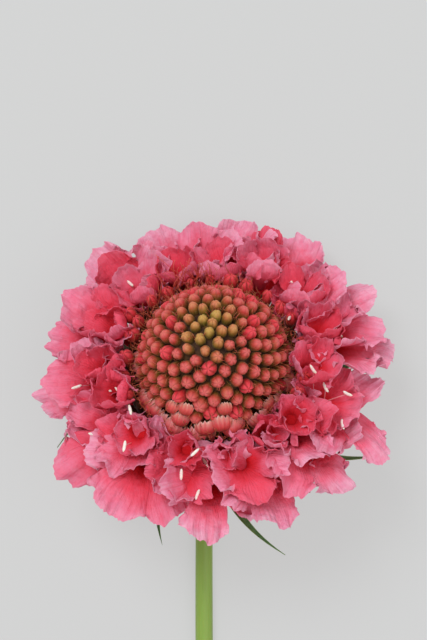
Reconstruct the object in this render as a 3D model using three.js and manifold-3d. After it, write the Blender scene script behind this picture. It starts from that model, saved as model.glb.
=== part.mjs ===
// A cut scabiosa flower, lying on a flat surface with its stem along it and its head turned up.
//
// The part's frame is in millimetres, +Z up, with the surface at Z = 0 and the stem running to -Y.
// The flower is four pieces, stacked along the head's axis:
//   stem          the peduncle, from its slanted cut end to the curved neck under the head
//   involucre     the green cup behind the head, with its ring of narrow bracts
//   ray_florets   three rings of open, frilled florets, joined by the collar that their tubes grow from
//   disc_florets  the dome of closed buds, with a ring of half-open florets at its foot
// The head is modelled upright about its own axis, in a group that tilts and places it.

import * as THREE from 'three';
import { ConvexGeometry } from 'three/addons/geometries/ConvexGeometry.js';
import { mergeVertices } from 'three/addons/utils/BufferGeometryUtils.js';
import Module from 'manifold-3d';

const wasm = await Module();
wasm.setup();

// ---- Driving dimensions, in millimetres and degrees ----

const GAP = 0.3; // left between neighbouring pieces
const GOLDEN_ANGLE = 137.508;

// The head: HEAD_CENTRE is the middle of the dome's foot, and the head's own Z is its axis.
const HEAD_CENTRE = new THREE.Vector3(-0.69, 60.67, 18.9);
const HEAD_TILT = 30; // from the vertical, away from the stem
const HEAD_LEAN = 4; // from the vertical, to the left

// The dome of buds: DOME is the envelope of their tips, and CORE is the smaller solid that they stand on.
const DOME = { radius: 14.2, height: 17.2, clearance: 0.65, sides: 36, steps: 10 };
const CORE = { radius: 12.2, height: 15.2, foot: -2.3, heart: 2, sides: 24 };
const BUDS = { count: 200, opened: 18, reach: 90, spread: 0.56, ageing: 2.2, uneven: 0.08 };
const BUD = { young: 0.82, old: 1.12, height: 2.2, shoulder: 0.8, crown: 0.72, sides: 5 };
const OPENED_BUD = { radius: 1.35, height: 2.42, shoulder: 1.05 };
const OPENING = { towards: -105, more: 34 }; // the side of the dome where more of its buds open

// The rings of ray florets, from the dome outwards: the place of their throats, the length of their
// outermost lobe, the share of it that the innermost has, the slopes of both, how far the mouth faces
// outwards and aside, how high they stay above the surface, and where their tubes leave the collar.
// From its notches to its edge the outermost lobe bends inwards by curlOut, and the innermost by curlIn.
const RINGS = [
  {
    seed: 11, count: 15, radius: 17.4, height: 0.6, lobe: 7.4, shortest: 0.85, flare: 34, inner: 64,
    face: 14, twist: 3, floor: 3.8, root: 0.75, curlOut: 70, curlIn: 60, curlUneven: 34,
    lobes: [-2, -1, 0, 1, 2], columns: 2,
  },
  {
    seed: 100, count: 12, radius: 19.4, height: -1.7, lobe: 10, shortest: 0.6, flare: 24, inner: 46,
    face: 12, twist: 13, floor: 2.8, root: 0.5, curlOut: 5, curlIn: 62, curlUneven: 42,
    lobes: [-1, 0, 1], columns: 2,
  },
  {
    seed: 83, count: 14, radius: 20.6, height: -4.5, lobe: 12.9, shortest: 0.6, flare: 6, inner: 36,
    face: 15, twist: 19, floor: 1.5, root: 0.25, curlOut: -12, curlIn: 50, curlUneven: 36,
    lobes: [-1, 0, 1], columns: 2,
  },
];
// How much the florets of a ring differ from each other, from the middle to either end.
const UNEVEN = { place: 0.2, face: 9, twist: 4, radius: 0.7, height: 0.6, lobe: 0.1, slope: 8, tilt: 19 };
const LOPSIDED = { share: 0.07, towards: 60 }; // the side of the head where the lobes are longest
const LOBES = 5;
const COROLLA = { throat: 1.15, steep: 84, bend: 0.18, fused: 0.42, thick: 0.6, steps: 8 };
const ROWS = [0, COROLLA.fused, 1]; // of a lobe's points, as shares of its length
const FRILL = { height: 0.085, waves: 1.4, turn: 2.1, notch: 0.08, round: 0.2 };
const TUBE = { radius: 0.65, sides: 4, elbow: 2.8, rise: 1.2, overlap: 0.7, sunk: 1 };
const COLLAR = { top: -2.6, foot: -6.3, topRadius: 11, footRadius: 6, sides: 24 };

// The involucre: a shallow cup and its bracts, which curve back behind the florets.
const CUP = { top: -6.6, topRadius: 6.4, shoulder: -8.5, shoulderRadius: 3.9, foot: -9.6, footRadius: 2.3 };
const CUP_SIDES = 20;
const BRACTS = { count: 8, first: -93, length: 30.5, width: 2.5, thick: 0.7, root: 1.9, steps: 8 };
const BRACT_BEND = { droop: 6.3, sweep: 1.1, aside: 11.5, hook: 4, hollow: 0.35, uneven: 0.06, turn: 13 };
const BRACT_SEEDS = { turn: 981, length: 446, aside: 53 };

// The stem: a neck that bends down to the surface, and a shaft lying on it to the slanted cut.
const STEM = { top: -9.9, topRadius: 1.75, radius: 1.55, sides: 10, side: -1.9, reach: 0.95, slant: 35 };
const SHAFT = { length: 128, steps: 6, sway: 3.2, early: 0.35 };
const NECK_STEPS = 9;

const rad = THREE.MathUtils.degToRad;

/** A repeatable number from -1 to 1 for one item of one seed. */
function vary(seed, item) {
  const s = Math.sin(seed * 12.9898 + item * 78.233) * 43758.5453;
  return 2 * (s - Math.floor(s)) - 1;
}

const lerp = THREE.MathUtils.lerp;
const smooth = (t) => THREE.MathUtils.smoothstep(t, 0, 1);

/** The larger of a and b, rounded over a width of k where they meet. */
function softMax(a, b, k) {
  const h = Math.max(0, 1 - Math.abs(a - b) / k);
  return Math.max(a, b) + (h * h * k) / 4;
}

const headTurn = new THREE.Euler(rad(-HEAD_TILT), rad(-HEAD_LEAN), 0);
const headMatrix = new THREE.Matrix4().makeRotationFromEuler(headTurn).setPosition(HEAD_CENTRE);
const upInHead = new THREE.Vector3(0, 0, 1).transformDirection(headMatrix.clone().invert());

/** Raises a point of the head so that it stays at least floor above the surface. */
function clearOfSurface(p, floor, soft = 1.5) {
  const z = p.clone().applyMatrix4(headMatrix).z;
  return p.clone().addScaledVector(upInHead, softMax(z, floor, soft) - z);
}

// ---- Solids ----

/** A manifold solid from rows of points and triangles that index them. */
function solid(points, triangles) {
  const raw = new THREE.BufferGeometry().setFromPoints(points);
  raw.setIndex(triangles);
  return solidOf(raw);
}

function solidOf(geometry) {
  const bare = new THREE.BufferGeometry();
  bare.setAttribute('position', geometry.getAttribute('position'));
  if (geometry.index) bare.setIndex(geometry.index);
  const merged = mergeVertices(bare, 1e-4);
  return new wasm.Manifold(
    new wasm.Mesh({
      numProp: 3,
      vertProperties: merged.attributes.position.array,
      triVerts: new Uint32Array(merged.index.array),
    }),
  );
}

/** A closed solid through rings of points of equal length. It ends flat, or in a tip where one is given. */
function loft(rings, tip) {
  const sides = rings[0].length;
  const points = rings.flat();
  const triangles = [];
  for (let i = 0; i + 1 < rings.length; i++) {
    for (let j = 0; j < sides; j++) {
      const a = i * sides + j;
      const b = i * sides + ((j + 1) % sides);
      triangles.push(a, b, b + sides, a, b + sides, a + sides);
    }
  }
  const last = (rings.length - 1) * sides;
  for (let j = 1; j + 1 < sides; j++) {
    triangles.push(0, j + 1, j);
    if (!tip) triangles.push(last, last + j, last + j + 1);
  }
  if (tip) {
    points.push(tip);
    for (let j = 0; j < sides; j++) triangles.push(last + j, last + ((j + 1) % sides), points.length - 1);
  }
  return solid(points, triangles);
}

function ringAround(centre, across, along, radius, sides, turn = 0) {
  return Array.from({ length: sides }, (_, j) => {
    const a = turn + (j / sides) * 2 * Math.PI;
    return centre
      .clone()
      .addScaledVector(across, radius * Math.cos(a))
      .addScaledVector(along, radius * Math.sin(a));
  });
}

/** Two directions at right angles to n and to each other, with n their cross product. */
function crossAxes(n) {
  const helper = Math.abs(n.z) > 0.9 ? new THREE.Vector3(1, 0, 0) : new THREE.Vector3(0, 0, 1);
  const across = helper.clone().cross(n).normalize();
  return [across, n.clone().cross(across).normalize()];
}

function lathe(profile, sides) {
  const outline = profile.map(([radius, z]) => new THREE.Vector2(radius, z));
  return solidOf(new THREE.LatheGeometry(outline, sides).rotateX(Math.PI / 2));
}

const union = (solids) => wasm.Manifold.union(solids);

/** The solid inside the largest shell of made, without the slivers that crossing lobes cut or close off. */
function whole(made) {
  return made.decompose().sort((a, b) => b.volume() - a.volume())[0];
}

function mesh(name, made, color, roughness) {
  const { vertProperties, triVerts } = made.getMesh();
  const geometry = new THREE.BufferGeometry();
  geometry.setAttribute('position', new THREE.BufferAttribute(vertProperties, 3));
  geometry.setIndex(new THREE.BufferAttribute(triVerts, 1));
  geometry.computeVertexNormals();
  const node = new THREE.Mesh(geometry, new THREE.MeshStandardMaterial({ color, roughness, metalness: 0 }));
  node.name = name;
  return node;
}

// ---- Disc florets: a dome of buds on a smaller core ----

/** The point of the core at an angle from its tip. */
function corePoint(polar, azimuth) {
  const out = CORE.radius * Math.sin(polar);
  return new THREE.Vector3(out * Math.cos(azimuth), out * Math.sin(azimuth), CORE.height * Math.cos(polar));
}

/** The points of one bud, each with its place on the core and how far it is raised from there. */
function budPoints(index) {
  const share = (index + 0.5) / BUDS.count;
  const polar = rad(BUDS.reach * share ** BUDS.spread);
  const azimuth = rad(GOLDEN_ANGLE * index);
  const facing = Math.max(0, Math.cos(azimuth - rad(OPENING.towards)));
  const opened = index >= BUDS.count - BUDS.opened - OPENING.more * Math.sqrt(facing);
  const grown = lerp(BUD.young, BUD.old, smooth(share * BUDS.ageing)) * (1 + BUDS.uneven * vary(3, index));
  const radius = opened ? OPENED_BUD.radius : grown;
  const height = (opened ? OPENED_BUD : BUD).height * (1 + BUDS.uneven * vary(4, index));
  const shoulder = height * (opened ? OPENED_BUD : BUD).shoulder;
  const ring = (wide, raised) =>
    Array.from({ length: BUD.sides }, (_, j) => {
      const turn = index + ((j + wide / 2) / BUD.sides) * 2 * Math.PI;
      const place = corePoint(
        polar + (wide / CORE.height) * Math.cos(turn),
        azimuth + (wide / (CORE.radius * Math.sin(polar))) * Math.sin(turn),
      );
      return { place, raised };
    });
  const tip = { place: corePoint(polar, azimuth), raised: height };
  return [tip, ...ring(BUD.crown * radius, shoulder), ...ring(radius, 0)];
}

/** The dome: every bud's points are joined over the core as by a taut skin, and then raised from it. */
function discFlorets() {
  const buds = Array.from({ length: BUDS.count }, (_, index) => budPoints(index)).flat();
  const low = Math.acos(CORE.foot / CORE.height);
  const foot = Array.from({ length: CORE.sides }, (_, j) => ({
    place: corePoint(low, (j / CORE.sides) * 2 * Math.PI),
    raised: 0,
  }));
  const kept = [...buds.filter(({ place }) => place.z > CORE.foot + GAP), ...foot];
  const key = (p) => p.toArray().map(Math.fround).join();
  const raised = new Map(kept.map((point) => [key(point.place), point.raised]));
  const skin = new ConvexGeometry(kept.map(({ place }) => place));
  const position = skin.getAttribute('position');
  const heart = new THREE.Vector3(0, 0, CORE.heart);
  for (let i = 0; i < position.count; i++) {
    const p = new THREE.Vector3().fromBufferAttribute(position, i);
    const out = p.clone().sub(heart).normalize();
    position.setXYZ(i, ...p.clone().addScaledVector(out, raised.get(key(p))).toArray());
  }
  return solidOf(skin);
}

// ---- Ray florets: frilled funnels on slender tubes ----

/** Everything that sets one floret apart: its place, the way its mouth faces, and its size. */
function floretOf(ring, i) {
  const differ = (n) => vary(ring.seed + n, i);
  const azimuth = rad(((i + UNEVEN.place * differ(0)) / ring.count) * 360 + ring.seed);
  const face = rad(ring.face + UNEVEN.face * differ(1));
  const twist = rad(ring.twist + UNEVEN.twist * differ(2));
  const axis = new THREE.Vector3(0, 0, 1);
  const out = new THREE.Vector3(Math.cos(azimuth), Math.sin(azimuth), 0);
  const aside = axis.clone().cross(out);
  const normal = axis
    .clone()
    .multiplyScalar(Math.cos(face))
    .addScaledVector(out, Math.sin(face))
    .addScaledVector(aside, Math.sin(twist))
    .normalize();
  const outward = out.clone().addScaledVector(normal, -out.dot(normal)).normalize();
  const throat = out.clone().multiplyScalar(ring.radius + UNEVEN.radius * differ(3));
  throat.z = ring.height + UNEVEN.height * differ(4);
  const lopsided = LOPSIDED.share * Math.cos(azimuth - rad(LOPSIDED.towards));
  return {
    ...ring,
    item: i,
    throat,
    normal,
    outward,
    sideways: normal.clone().cross(outward),
    length: ring.lobe * (1 + UNEVEN.lobe * differ(5) + lopsided),
    flare: rad(ring.flare + UNEVEN.slope * differ(6)),
    inner: rad(ring.inner + UNEVEN.slope * differ(7)),
    phase: Math.PI * differ(8),
  };
}

/** How one lobe leaves the plain funnel above its notches: it is tilted as a whole, and bends to its edge. */
function poseOf(floret, lobe) {
  const item = floret.item * LOBES + ((lobe + LOBES) % LOBES);
  const outermost = (1 + Math.cos((lobe * 2 * Math.PI) / LOBES)) / 2;
  const differ = (n) => vary(floret.seed + 100 + n, item);
  return {
    tilt: rad(UNEVEN.tilt * differ(3)),
    bend: rad(lerp(floret.curlIn, floret.curlOut, outermost) + floret.curlUneven * differ(4)),
  };
}

/** A point of a floret's funnel: v runs from 0 at the throat to 1 at the edge, round the mouth by theta. */
function funnelPoint(floret, pose, theta, v) {
  const outer = (1 + Math.cos(theta)) / 2;
  const length = floret.length * lerp(floret.shortest, 1, outer);
  const flat = lerp(floret.inner, floret.flare, outer);
  const step = (length * v) / COROLLA.steps;
  let radius = COROLLA.throat;
  let rise = 0;
  for (let k = 0; k < COROLLA.steps; k++) {
    const at = (v * (k + 0.5)) / COROLLA.steps;
    const free = Math.max(0, (at - COROLLA.fused) / (1 - COROLLA.fused));
    const plain = flat + (rad(COROLLA.steep) - flat) * Math.exp(-at / COROLLA.bend);
    const slope = plain + pose.tilt * smooth(2 * free) + pose.bend * free;
    radius += Math.cos(slope) * step;
    rise += Math.sin(slope) * step;
  }
  return floret.throat
    .clone()
    .addScaledVector(floret.outward, radius * Math.cos(theta))
    .addScaledVector(floret.sideways, radius * Math.sin(theta))
    .addScaledVector(floret.normal, rise);
}

function funnelNormal(floret, pose, theta, v) {
  const step = 0.02;
  const at = (turn, shift) => funnelPoint(floret, pose, theta + turn, Math.max(0, v + shift));
  const round = at(step, 0).sub(at(-step, 0));
  const along = at(0, step).sub(at(0, -step));
  return round.cross(along).normalize();
}

/** Both faces of one lobe's grid of points, frilled towards its edge. */
function lobePoints(floret, lobe) {
  const points = [];
  const half = Math.PI / LOBES;
  const pose = poseOf(floret, lobe);
  for (const face of [1, -1]) {
    for (const row of ROWS) {
      for (let i = 0; i <= floret.columns; i++) {
        const u = (2 * i) / floret.columns - 1;
        const free = Math.max(0, (row - COROLLA.fused) / (1 - COROLLA.fused));
        const v = row * (1 - FRILL.round * Math.abs(u) ** 3 * free);
        const theta = lobe * 2 * half + half * u * (1 - FRILL.notch * free);
        const wave = Math.sin(Math.PI * FRILL.waves * (u + 1) + floret.phase + FRILL.turn * lobe);
        const lift = floret.length * FRILL.height * free * wave;
        const normal = funnelNormal(floret, pose, theta, v);
        const p = funnelPoint(floret, pose, theta, v).addScaledVector(normal, lift + (face * COROLLA.thick) / 2);
        const facesUp = normal.dot(upInHead) * face > 0;
        points.push(clearOfSurface(p, floret.floor + (facesUp ? COROLLA.thick : 0)));
      }
    }
  }
  return points;
}

/** One corolla as a closed thin shell: a funnel whose mouth is split into five lobes. */
function corolla(floret) {
  const points = [];
  const triangles = [];
  const columns = floret.columns;
  const wide = columns + 1;
  const quad = (a, b, c, d) => triangles.push(a, b, c, a, c, d);
  const closed = floret.lobes.length === LOBES;
  for (const lobe of floret.lobes) {
    const front = points.length;
    const back = front + wide * ROWS.length;
    points.push(...lobePoints(floret, lobe));
    for (let j = 0; j + 1 < ROWS.length; j++) {
      for (let i = 0; i < columns; i++) {
        const a = j * wide + i;
        quad(front + a, front + a + 1, front + a + 1 + wide, front + a + wide);
        triangles.push(back + a, back + a + 1 + wide, back + a + 1);
        triangles.push(back + a, back + a + wide, back + a + 1 + wide);
      }
      const free = ROWS[j] >= COROLLA.fused;
      if (free || (!closed && lobe === floret.lobes[0])) {
        const a = j * wide;
        quad(front + a, front + a + wide, back + a + wide, back + a);
      }
      if (free || (!closed && lobe === floret.lobes.at(-1))) {
        const b = j * wide + columns;
        quad(front + b, back + b, back + b + wide, front + b + wide);
      }
    }
    const edge = (ROWS.length - 1) * wide;
    for (let i = 0; i < columns; i++) {
      quad(front + i, back + i, back + i + 1, front + i + 1);
      quad(front + edge + i, front + edge + i + 1, back + edge + i + 1, back + edge + i);
    }
  }
  return solid(points, triangles);
}

/** The tube of a floret: from inside the collar, out below the dome, and up to the foot of its funnel. */
function floretTube(floret) {
  const out = new THREE.Vector3(floret.throat.x, floret.throat.y, 0);
  const reach = out.length();
  const at = (radius, z) => out.clone().setLength(radius).setZ(z);
  const rim = lerp(COLLAR.footRadius, COLLAR.topRadius, floret.root);
  const root = at(rim - TUBE.sunk, lerp(COLLAR.foot, COLLAR.top, floret.root));
  const elbow = at(reach - TUBE.elbow, Math.min(floret.throat.z - TUBE.rise, COLLAR.top - GAP));
  const end = floret.throat.clone().addScaledVector(floret.normal, TUBE.overlap);
  const way = elbow.clone().sub(root).normalize();
  const [across, along] = crossAxes(way);
  const [wide, high] = crossAxes(floret.normal);
  return loft([
    ringAround(root, across, along, TUBE.radius, TUBE.sides),
    ringAround(elbow, across, along, TUBE.radius, TUBE.sides),
    ringAround(end, wide, high, COROLLA.throat + 0.1, TUBE.sides),
  ]);
}

/** The space that the disc florets hold, with the gap that the ray florets keep from it. */
function discEnvelope() {
  const radius = DOME.radius + DOME.clearance;
  const height = DOME.height + GAP;
  const arc = Array.from({ length: DOME.steps }, (_, i) => {
    const polar = (Math.PI / 2) * (1 - i / DOME.steps);
    return [radius * Math.sin(polar), height * Math.cos(polar)];
  });
  const foot = [[0, COLLAR.top], [CORE.radius, COLLAR.top], [radius, CORE.foot + 3 * GAP]];
  return lathe([...foot, ...arc, [0, height]], DOME.sides);
}

function rayFlorets() {
  const profile = [
    [0, COLLAR.foot],
    [COLLAR.footRadius, COLLAR.foot],
    [COLLAR.topRadius, COLLAR.top],
    [0, COLLAR.top],
  ];
  const parts = [lathe(profile, COLLAR.sides)];
  RINGS.forEach((ring) => {
    for (let i = 0; i < ring.count; i++) {
      const floret = floretOf(ring, i);
      parts.push(corolla(floret), floretTube(floret));
    }
  });
  return whole(union(parts).subtract(discEnvelope()));
}

// ---- Involucre: a cup and its bracts ----

/** One bract: a narrow keeled blade from the cup, whose tip lies flat where it meets the surface. */
function bract(i) {
  const azimuth = rad(BRACTS.first + (i * 360) / BRACTS.count + BRACT_BEND.turn * vary(BRACT_SEEDS.turn, i));
  const length = BRACTS.length * (1 + BRACT_BEND.uneven * vary(BRACT_SEEDS.length, i));
  const out = new THREE.Vector3(Math.cos(azimuth), Math.sin(azimuth), 0);
  const sideways = new THREE.Vector3(-out.y, out.x, 0);
  const hook = BRACT_BEND.aside * (1 + 0.3 * vary(BRACT_SEEDS.aside, i));
  const rings = [];
  for (let k = 0; k <= BRACTS.steps; k++) {
    const t = k / BRACTS.steps;
    const centre = out
      .clone()
      .multiplyScalar(lerp(CUP.footRadius, length, t))
      .addScaledVector(sideways, hook * t ** BRACT_BEND.hook)
      .setZ(CUP.foot + BRACTS.root - BRACT_BEND.droop * t * Math.sin(BRACT_BEND.sweep * t));
    const half = (BRACTS.width / 2) * Math.max(0.06, Math.sin(Math.PI * (0.18 + 0.8 * t)) ** 0.8);
    const corner = (aside, up, floor) =>
      clearOfSurface(centre.clone().addScaledVector(sideways, aside).add(new THREE.Vector3(0, 0, up)), floor);
    rings.push([
      corner(half, BRACT_BEND.hollow * half, 0),
      corner(0, BRACTS.thick / 2, BRACTS.thick),
      corner(-half, BRACT_BEND.hollow * half, 0),
      corner(0, -BRACTS.thick / 2, 0),
    ]);
  }
  return loft(rings);
}

function involucre() {
  const profile = [
    [0, CUP.foot],
    [CUP.footRadius, CUP.foot],
    [CUP.shoulderRadius, CUP.shoulder],
    [CUP.topRadius, CUP.top],
    [0, CUP.top],
  ];
  return union([lathe(profile, CUP_SIDES), ...Array.from({ length: BRACTS.count }, (_, i) => bract(i))]);
}

// ---- Stem ----

/** The stem's middle line: a neck that leaves the head along its axis, and a shaft along the surface. */
function stemLine() {
  const axis = new THREE.Vector3(0, 0, 1).transformDirection(headMatrix);
  const top = new THREE.Vector3(0, 0, STEM.top).applyMatrix4(headMatrix);
  const height = STEM.radius * Math.cos(Math.PI / STEM.sides);
  const drop = (top.z - height) / axis.z;
  const knee = top.clone().addScaledVector(axis, -drop);
  const landing = new THREE.Vector3(HEAD_CENTRE.x + STEM.side, knee.y - drop * STEM.reach, height);
  const neck = new THREE.QuadraticBezierCurve3(top, knee, landing).getPoints(NECK_STEPS);
  const shaft = Array.from({ length: SHAFT.steps }, (_, k) => {
    const t = (k + 1) / SHAFT.steps;
    const sway = SHAFT.sway * t * (t - SHAFT.early);
    return new THREE.Vector3(landing.x + sway, landing.y - SHAFT.length * t, height);
  });
  return [...neck, ...shaft];
}

function stem() {
  const line = stemLine();
  const flatDown = Math.PI / STEM.sides - Math.PI / 2;
  const rings = line.map((centre, k) => {
    const before = line[Math.max(0, k - 1)];
    const after = line[Math.min(line.length - 1, k + 1)];
    const way = after.clone().sub(before).normalize();
    const across = new THREE.Vector3(1, 0, 0).addScaledVector(way, -way.x).normalize();
    const along = way.clone().cross(across);
    const radius = lerp(STEM.topRadius, STEM.radius, smooth(k / NECK_STEPS));
    const ring = ringAround(centre, across, along, radius, STEM.sides, flatDown);
    if (k < line.length - 1) return ring;
    return ring.map((p) => p.addScaledVector(way, (centre.z - p.z) * Math.tan(rad(STEM.slant))));
  });
  return loft(rings);
}

// ---- The flower ----

const flower = new THREE.Group();
flower.add(mesh('stem', stem(), '#869f4b', 0.55));

const head = new THREE.Group();
head.position.copy(HEAD_CENTRE);
head.rotation.copy(headTurn);
head.add(mesh('involucre', involucre(), '#4f7a3c', 0.5));
head.add(mesh('ray_florets', rayFlorets(), '#dc5f80', 0.6));
head.add(mesh('disc_florets', discFlorets(), '#c4604f', 0.6));
flower.add(head);

export default flower;
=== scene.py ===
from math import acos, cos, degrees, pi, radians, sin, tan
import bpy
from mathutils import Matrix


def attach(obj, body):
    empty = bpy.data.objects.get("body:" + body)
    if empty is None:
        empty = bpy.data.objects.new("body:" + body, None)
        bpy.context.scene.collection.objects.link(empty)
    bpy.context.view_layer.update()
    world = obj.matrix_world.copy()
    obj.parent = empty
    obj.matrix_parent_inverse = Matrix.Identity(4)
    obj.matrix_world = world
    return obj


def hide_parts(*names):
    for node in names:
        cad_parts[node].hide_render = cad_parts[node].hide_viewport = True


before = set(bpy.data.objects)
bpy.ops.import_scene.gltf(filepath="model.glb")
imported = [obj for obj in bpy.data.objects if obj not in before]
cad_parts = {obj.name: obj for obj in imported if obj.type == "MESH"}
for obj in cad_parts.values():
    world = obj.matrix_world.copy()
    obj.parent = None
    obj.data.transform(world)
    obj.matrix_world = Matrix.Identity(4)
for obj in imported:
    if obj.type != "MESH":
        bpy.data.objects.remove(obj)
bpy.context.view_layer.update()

# A cut scabiosa flower, lying on a pale surface with its head turned up to the camera.
#
# Lengths are in millimetres until a mesh is made, and then in metres. Named angles are in degrees, and
# azimuths that functions pass on are in radians. The head is modelled upright about its own axis, with the
# middle of the dome's foot at its origin, and then tilted and placed as a whole.

from types import SimpleNamespace as Sizes

import bmesh
import bpy
import numpy as np
from mathutils import Vector

MM = 0.001
RIM_ANGLE = 55
GOLDEN_ANGLE = 137.508
UP = np.array([0, 0, 1.0])
ASIDE = np.array([1.0, 0, 0])
NO_MARKS = (0, 0, 0)

# ---- Dimensions, most of them shared with the solids of the part ----

HEAD_CENTRE = np.array([-0.69, 60.67, 18.9])
TALLEST = 36
HEAD_TILT = 30
HEAD_LEAN = 4

DOME = Sizes(radius=14.2, height=17.2, foot=-3, gap=0.3, narrow=1)
CORE = Sizes(radius=12.2, height=15.2, foot=-2.3, heart=2, steps=30, hub=0.2, top=0.02)
BUDS = Sizes(count=200, opened=18, reach=90, spread=0.56, ageing=3.4, uneven=0.08)
BUD = Sizes(young=0.96, old=1.2, foot=0.83, foot_from=0.45, foot_to=0.9, height=2.2)
OPENING = Sizes(towards=-95, more=80, narrow=1.4)

# The rings of ray florets. flare and inner are the slopes of the outermost and the innermost lobe, shortest
# and narrowest their ratios in length and width. The mouth leans outwards by face and aside by twist. floor
# is the lowest height above the surface, and root the height on the collar, as a share. The next to last
# field paints the ring's lobes a deeper crimson: painted shade, highest on the inner ring, which lies in
# shade.
RINGS = (
    Sizes(name="inner", seed=11, count=15, radius=18.2, height=0.9, floor=3.8, root=0.75,
          flare=34, inner=64, face=14, twist=3, lobe=7.4, shortest=0.85, width=3.2, narrowest=0.85,
          curl_out=60, curl_in=55, curl_uneven=28, folds=0.55, spoon=0.25, columns=28, teeth=7,
          deep=0.8, young=0.36),
    Sizes(name="middle", seed=100, count=12, radius=19.4, height=-1.7, floor=2.8, root=0.5,
          flare=24, inner=46, face=12, twist=13, lobe=10, shortest=0.6, width=4.1, narrowest=0.75,
          curl_out=5, curl_in=62, curl_uneven=42, folds=0.8, spoon=0.1, columns=34, teeth=9,
          deep=0.6, young=0),
    Sizes(name="outer", seed=83, count=14, radius=20.6, height=-4.5, floor=1.5, root=0.25,
          flare=6, inner=36, face=15, twist=19, lobe=12.9, shortest=0.6, width=4.7, narrowest=0.75,
          curl_out=-12, curl_in=50, curl_uneven=36, folds=0.92, spoon=-0.06, columns=40, teeth=12,
          deep=0.2, young=0),
)
UNEVEN = Sizes(place=0.2, face=9, twist=4, radius=0.7, height=0.6, lobe=0.1, slope=8)
LOPSIDED = Sizes(share=0.07, towards=60)
LOBES = 5
COROLLA = Sizes(throat=1.15, steep=84, bend=0.18, fused=0.42, hinge=0.5)
FRILL = Sizes(height=0.17, waves=1.4, turn=2.1)
COLLAR = Sizes(top=-2.6, foot=-6.3, top_radius=11, foot_radius=6, hub=0.2, sides=48)

CUP = Sizes(top=-6.6, top_radius=6.4, waist=-7.5, waist_radius=5.3, shoulder=-8.5, shoulder_radius=3.9,
            foot=-9.6, foot_radius=2.3, hub=0.3, sides=60)
BRACTS = Sizes(count=8, first=-93, length=30.5, width=2.5, root=1.9)
BEND = Sizes(droop=6.3, sweep=1.1, aside=11.5, hook=4, hollow=0.35, uneven=0.06, turn=13, aside_uneven=0.3)
SEEDS = Sizes(turn=981, length=446, aside=53)

STEM = Sizes(top=-9.9, top_radius=1.75, radius=1.55, fuller=1.05, side=-1.9, reach=0.95, slant=35)
SHAFT = Sizes(length=128, sway=3.2, early=0.35, solid_sides=10)


# ---- Small tools ----

def vary(seed, item):
    """A repeatable number from -1 to 1 for one item of one seed."""
    s = np.sin(seed * 12.9898 + item * 78.233) * 43758.5453
    return 2 * (s - np.floor(s)) - 1


def draws(seed, item):
    """An item's own series of such numbers, to be called with the number of a draw."""
    return lambda n: vary(seed + n, item)


def lerp(a, b, t):
    return a + (b - a) * t


def smooth(t, low=0, high=1):
    t = np.clip((t - low) / (high - low), 0, 1)
    return t * t * (3 - 2 * t)


def soft_max(a, b, k):
    """The larger of a and b, rounded over a width of k where they meet."""
    h = np.maximum(0, 1 - np.abs(a - b) / k)
    return np.maximum(a, b) + h * h * k / 4


def unit(v):
    return v / np.maximum(np.linalg.norm(v, axis=-1, keepdims=True), 1e-12)


def turn_x(angle):
    c, s = cos(radians(angle)), sin(radians(angle))
    return np.array([[1, 0, 0], [0, c, -s], [0, s, c]])


def turn_y(angle):
    c, s = cos(radians(angle)), sin(radians(angle))
    return np.array([[c, 0, s], [0, 1, 0], [-s, 0, c]])


HEAD_TURN = turn_x(-HEAD_TILT) @ turn_y(-HEAD_LEAN)
UP_IN_HEAD = HEAD_TURN.T @ UP


def to_world(points):
    return points @ HEAD_TURN.T + HEAD_CENTRE


def around(azimuth):
    """The direction straight out from the head's axis at an azimuth."""
    return np.array([cos(azimuth), sin(azimuth), 0])


def frame_of(axis):
    """Two directions at right angles to each other and to an axis, or to each axis of a row."""
    across = unit(np.cross(UP if abs(axis.flat[2]) < 0.9 else ASIDE, axis))
    return across, np.cross(axis, across)


def curve_through(a, b, c, steps):
    """Points along a quadratic curve from a to c that bends towards b."""
    t = np.linspace(0, 1, steps + 1)[:, None]
    return (1 - t) ** 2 * a + 2 * t * (1 - t) * b + t * t * c


def clear_of_surface(points, floor, soft=1.5):
    """Moves points of the head up or down to stay between floor and the flower's height."""
    z = to_world(points)[..., 2]
    kept = -soft_max(-soft_max(z, floor, soft), -TALLEST, soft)
    return points + (kept - z)[..., None] * UP_IN_HEAD


def clear_of_dome(points, soft=1.2):
    """Pushes points of the head out of the space that the dome of buds fills."""
    z = points[..., 2]
    flat = np.linalg.norm(points[..., :2], axis=-1)
    share = np.sqrt(np.clip(1 - np.clip(z / (DOME.height + DOME.gap), 0, 1) ** 2, 0, 1))
    edge = np.where(z > DOME.foot, (DOME.radius + DOME.gap) * share, 0)
    wanted = np.where(edge > DOME.narrow, soft_max(flat, edge, soft), flat)
    moved = points.copy()
    moved[..., :2] *= (wanted / np.maximum(flat, 1e-6))[..., None]
    return moved


def degrees_from(azimuth, towards):
    """How many degrees an azimuth, in radians, is away from another one, in degrees."""
    return abs((degrees(azimuth) - towards + 180) % 360 - 180)


def facing_opening(azimuth):
    """From 0 to 1, how much a direction faces the side where most florets are opening."""
    return max(0, cos(radians(min(90, degrees_from(azimuth, OPENING.towards) * OPENING.narrow))))


# ---- Meshes ----

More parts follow.
